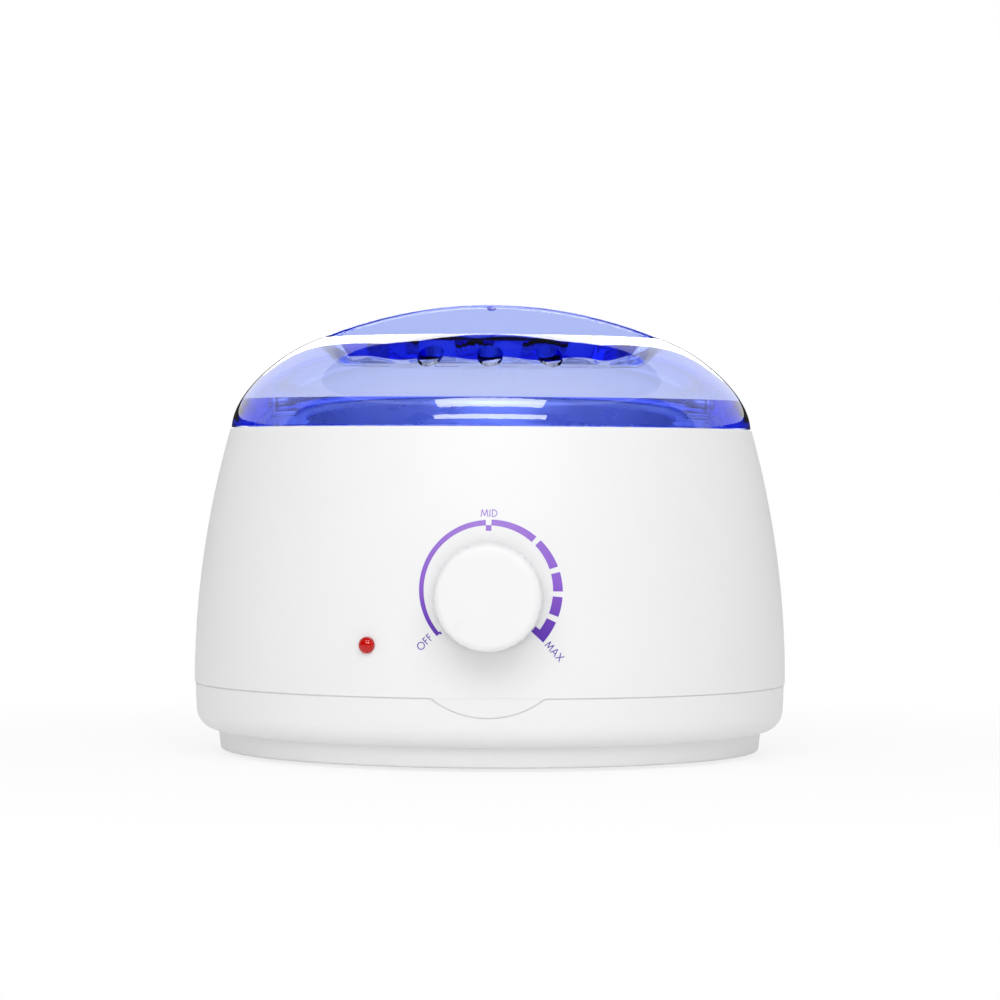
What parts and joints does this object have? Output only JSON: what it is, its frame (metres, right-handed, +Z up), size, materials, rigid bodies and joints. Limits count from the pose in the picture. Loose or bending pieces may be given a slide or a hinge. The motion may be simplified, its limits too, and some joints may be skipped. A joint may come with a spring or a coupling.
{
  "type": "wax warmer",
  "caption": "Round electric warmer with a lift-out metal pot in a heated well, a clear vented lid with a finger grip, and a turning heat knob.",
  "frame": {"origin": "on the upright axis of the round body, in the plane of the table that the four feet stand on, 1 mm below the flat underside of the base housing", "axes": "+Z up along the body's axis, -Y out of the front through the knob, +X to the right seen from the front"},
  "size_m": [0.188, 0.2066, 0.1423],
  "materials": {
    "white_plastic": "smooth moulded white plastic, satin gloss",
    "clear_blue": "clear tinted moulded plastic, high gloss",
    "red_lens": "clear red lens",
    "aluminium": "spun aluminium, fine turned lines",
    "steel": "drawn steel",
    "zinc": "bright zinc plate",
    "copper": "drawn copper",
    "band_steel": "heat-tinted steel sheet",
    "black_rubber": "matte moulded rubber",
    "black_plastic": "matte moulded plastic",
    "bakelite": "pressed thermoset",
    "silicone": "moulded silicone",
    "foot_rubber": "pale grey rubber",
    "glass_wool": "pressed glass-fibre mat",
    "ceramic": "unglazed ceramic",
    "block_plastic": "natural polyamide",
    "brown_wire": "brown wire sleeve",
    "blue_wire": "blue wire sleeve",
    "earth_wire": "green and yellow wire sleeve",
    "white_wire": "white wire sleeve",
    "neon_glass": "small glass bulb"
  },
  "bodies": {
    "root": {"upper_housing": "white_plastic", "base_housing": "white_plastic", "heating_well": "aluminium", "well_gasket": "silicone", "heater_band": "band_steel", "band_screw": "zinc", "band_nut": "zinc", "insulation_sleeve": "glass_wool", "thermostat_body": "bakelite", "thermostat_bracket": "zinc", "thermostat_nut": "zinc", "bracket_screw_1": "zinc", "bracket_screw_2": "zinc", "sensor_bulb": "copper", "sensor_clip": "steel", "capillary_tube": "copper", "thermal_fuse": "ceramic", "fuse_clip": "steel", "terminal_block": "block_plastic", "terminal_screw_1": "zinc", "terminal_screw_2": "zinc", "cord_gland": "black_rubber", "lamp_lens": "red_lens", "lamp_holder": "black_plastic", "lamp_bulb": "neon_glass", "lead_live": "brown_wire", "lead_switched": "brown_wire", "lead_heater": "white_wire", "lead_neutral": "blue_wire", "lead_earth": "earth_wire", "lead_lamp_switched": "white_wire", "lead_lamp_neutral": "blue_wire", "well_nut_1": "zinc", "base_screw_1": "zinc", "foot_1": "foot_rubber", "well_nut_2": "zinc", "base_screw_2": "zinc", "foot_2": "foot_rubber", "well_nut_3": "zinc", "base_screw_3": "zinc", "foot_3": "foot_rubber", "well_nut_4": "zinc", "base_screw_4": "zinc", "foot_4": "foot_rubber"},
    "pot": {"wax_pot": "aluminium", "pot_ear_right": "steel", "pot_ear_left": "steel"},
    "bail": {"pot_bail": "steel"},
    "lid": {"lid": "clear_blue"},
    "knob": {"knob": "white_plastic", "thermostat_shaft": "steel"}
  },
  "joints": [
    {"name": "pot_lift", "type": "slide", "parent": "root", "child": "pot", "axis": [0, 0, 1], "range_m": [0, 0.08]},
    {"name": "lid_lift", "type": "slide", "parent": "pot", "child": "lid", "axis": [0, 0, 1], "range_m": [0, 0.11]},
    {"name": "bail_swing", "type": "hinge", "parent": "pot", "child": "bail", "pos_m": [0, 0, 0.105], "axis": [1, 0, 0], "range_deg": [0, 91]},
    {"name": "knob_turn", "type": "hinge", "parent": "root", "child": "knob", "pos_m": [0, -0.1, 0.0523], "axis": [0, 1, 0], "range_deg": [0, 265]}
  ],
  "couplings": [
    {"joint": "bail_swing", "follows": "lid_lift", "rad_per_m": 14.28}
  ]
}
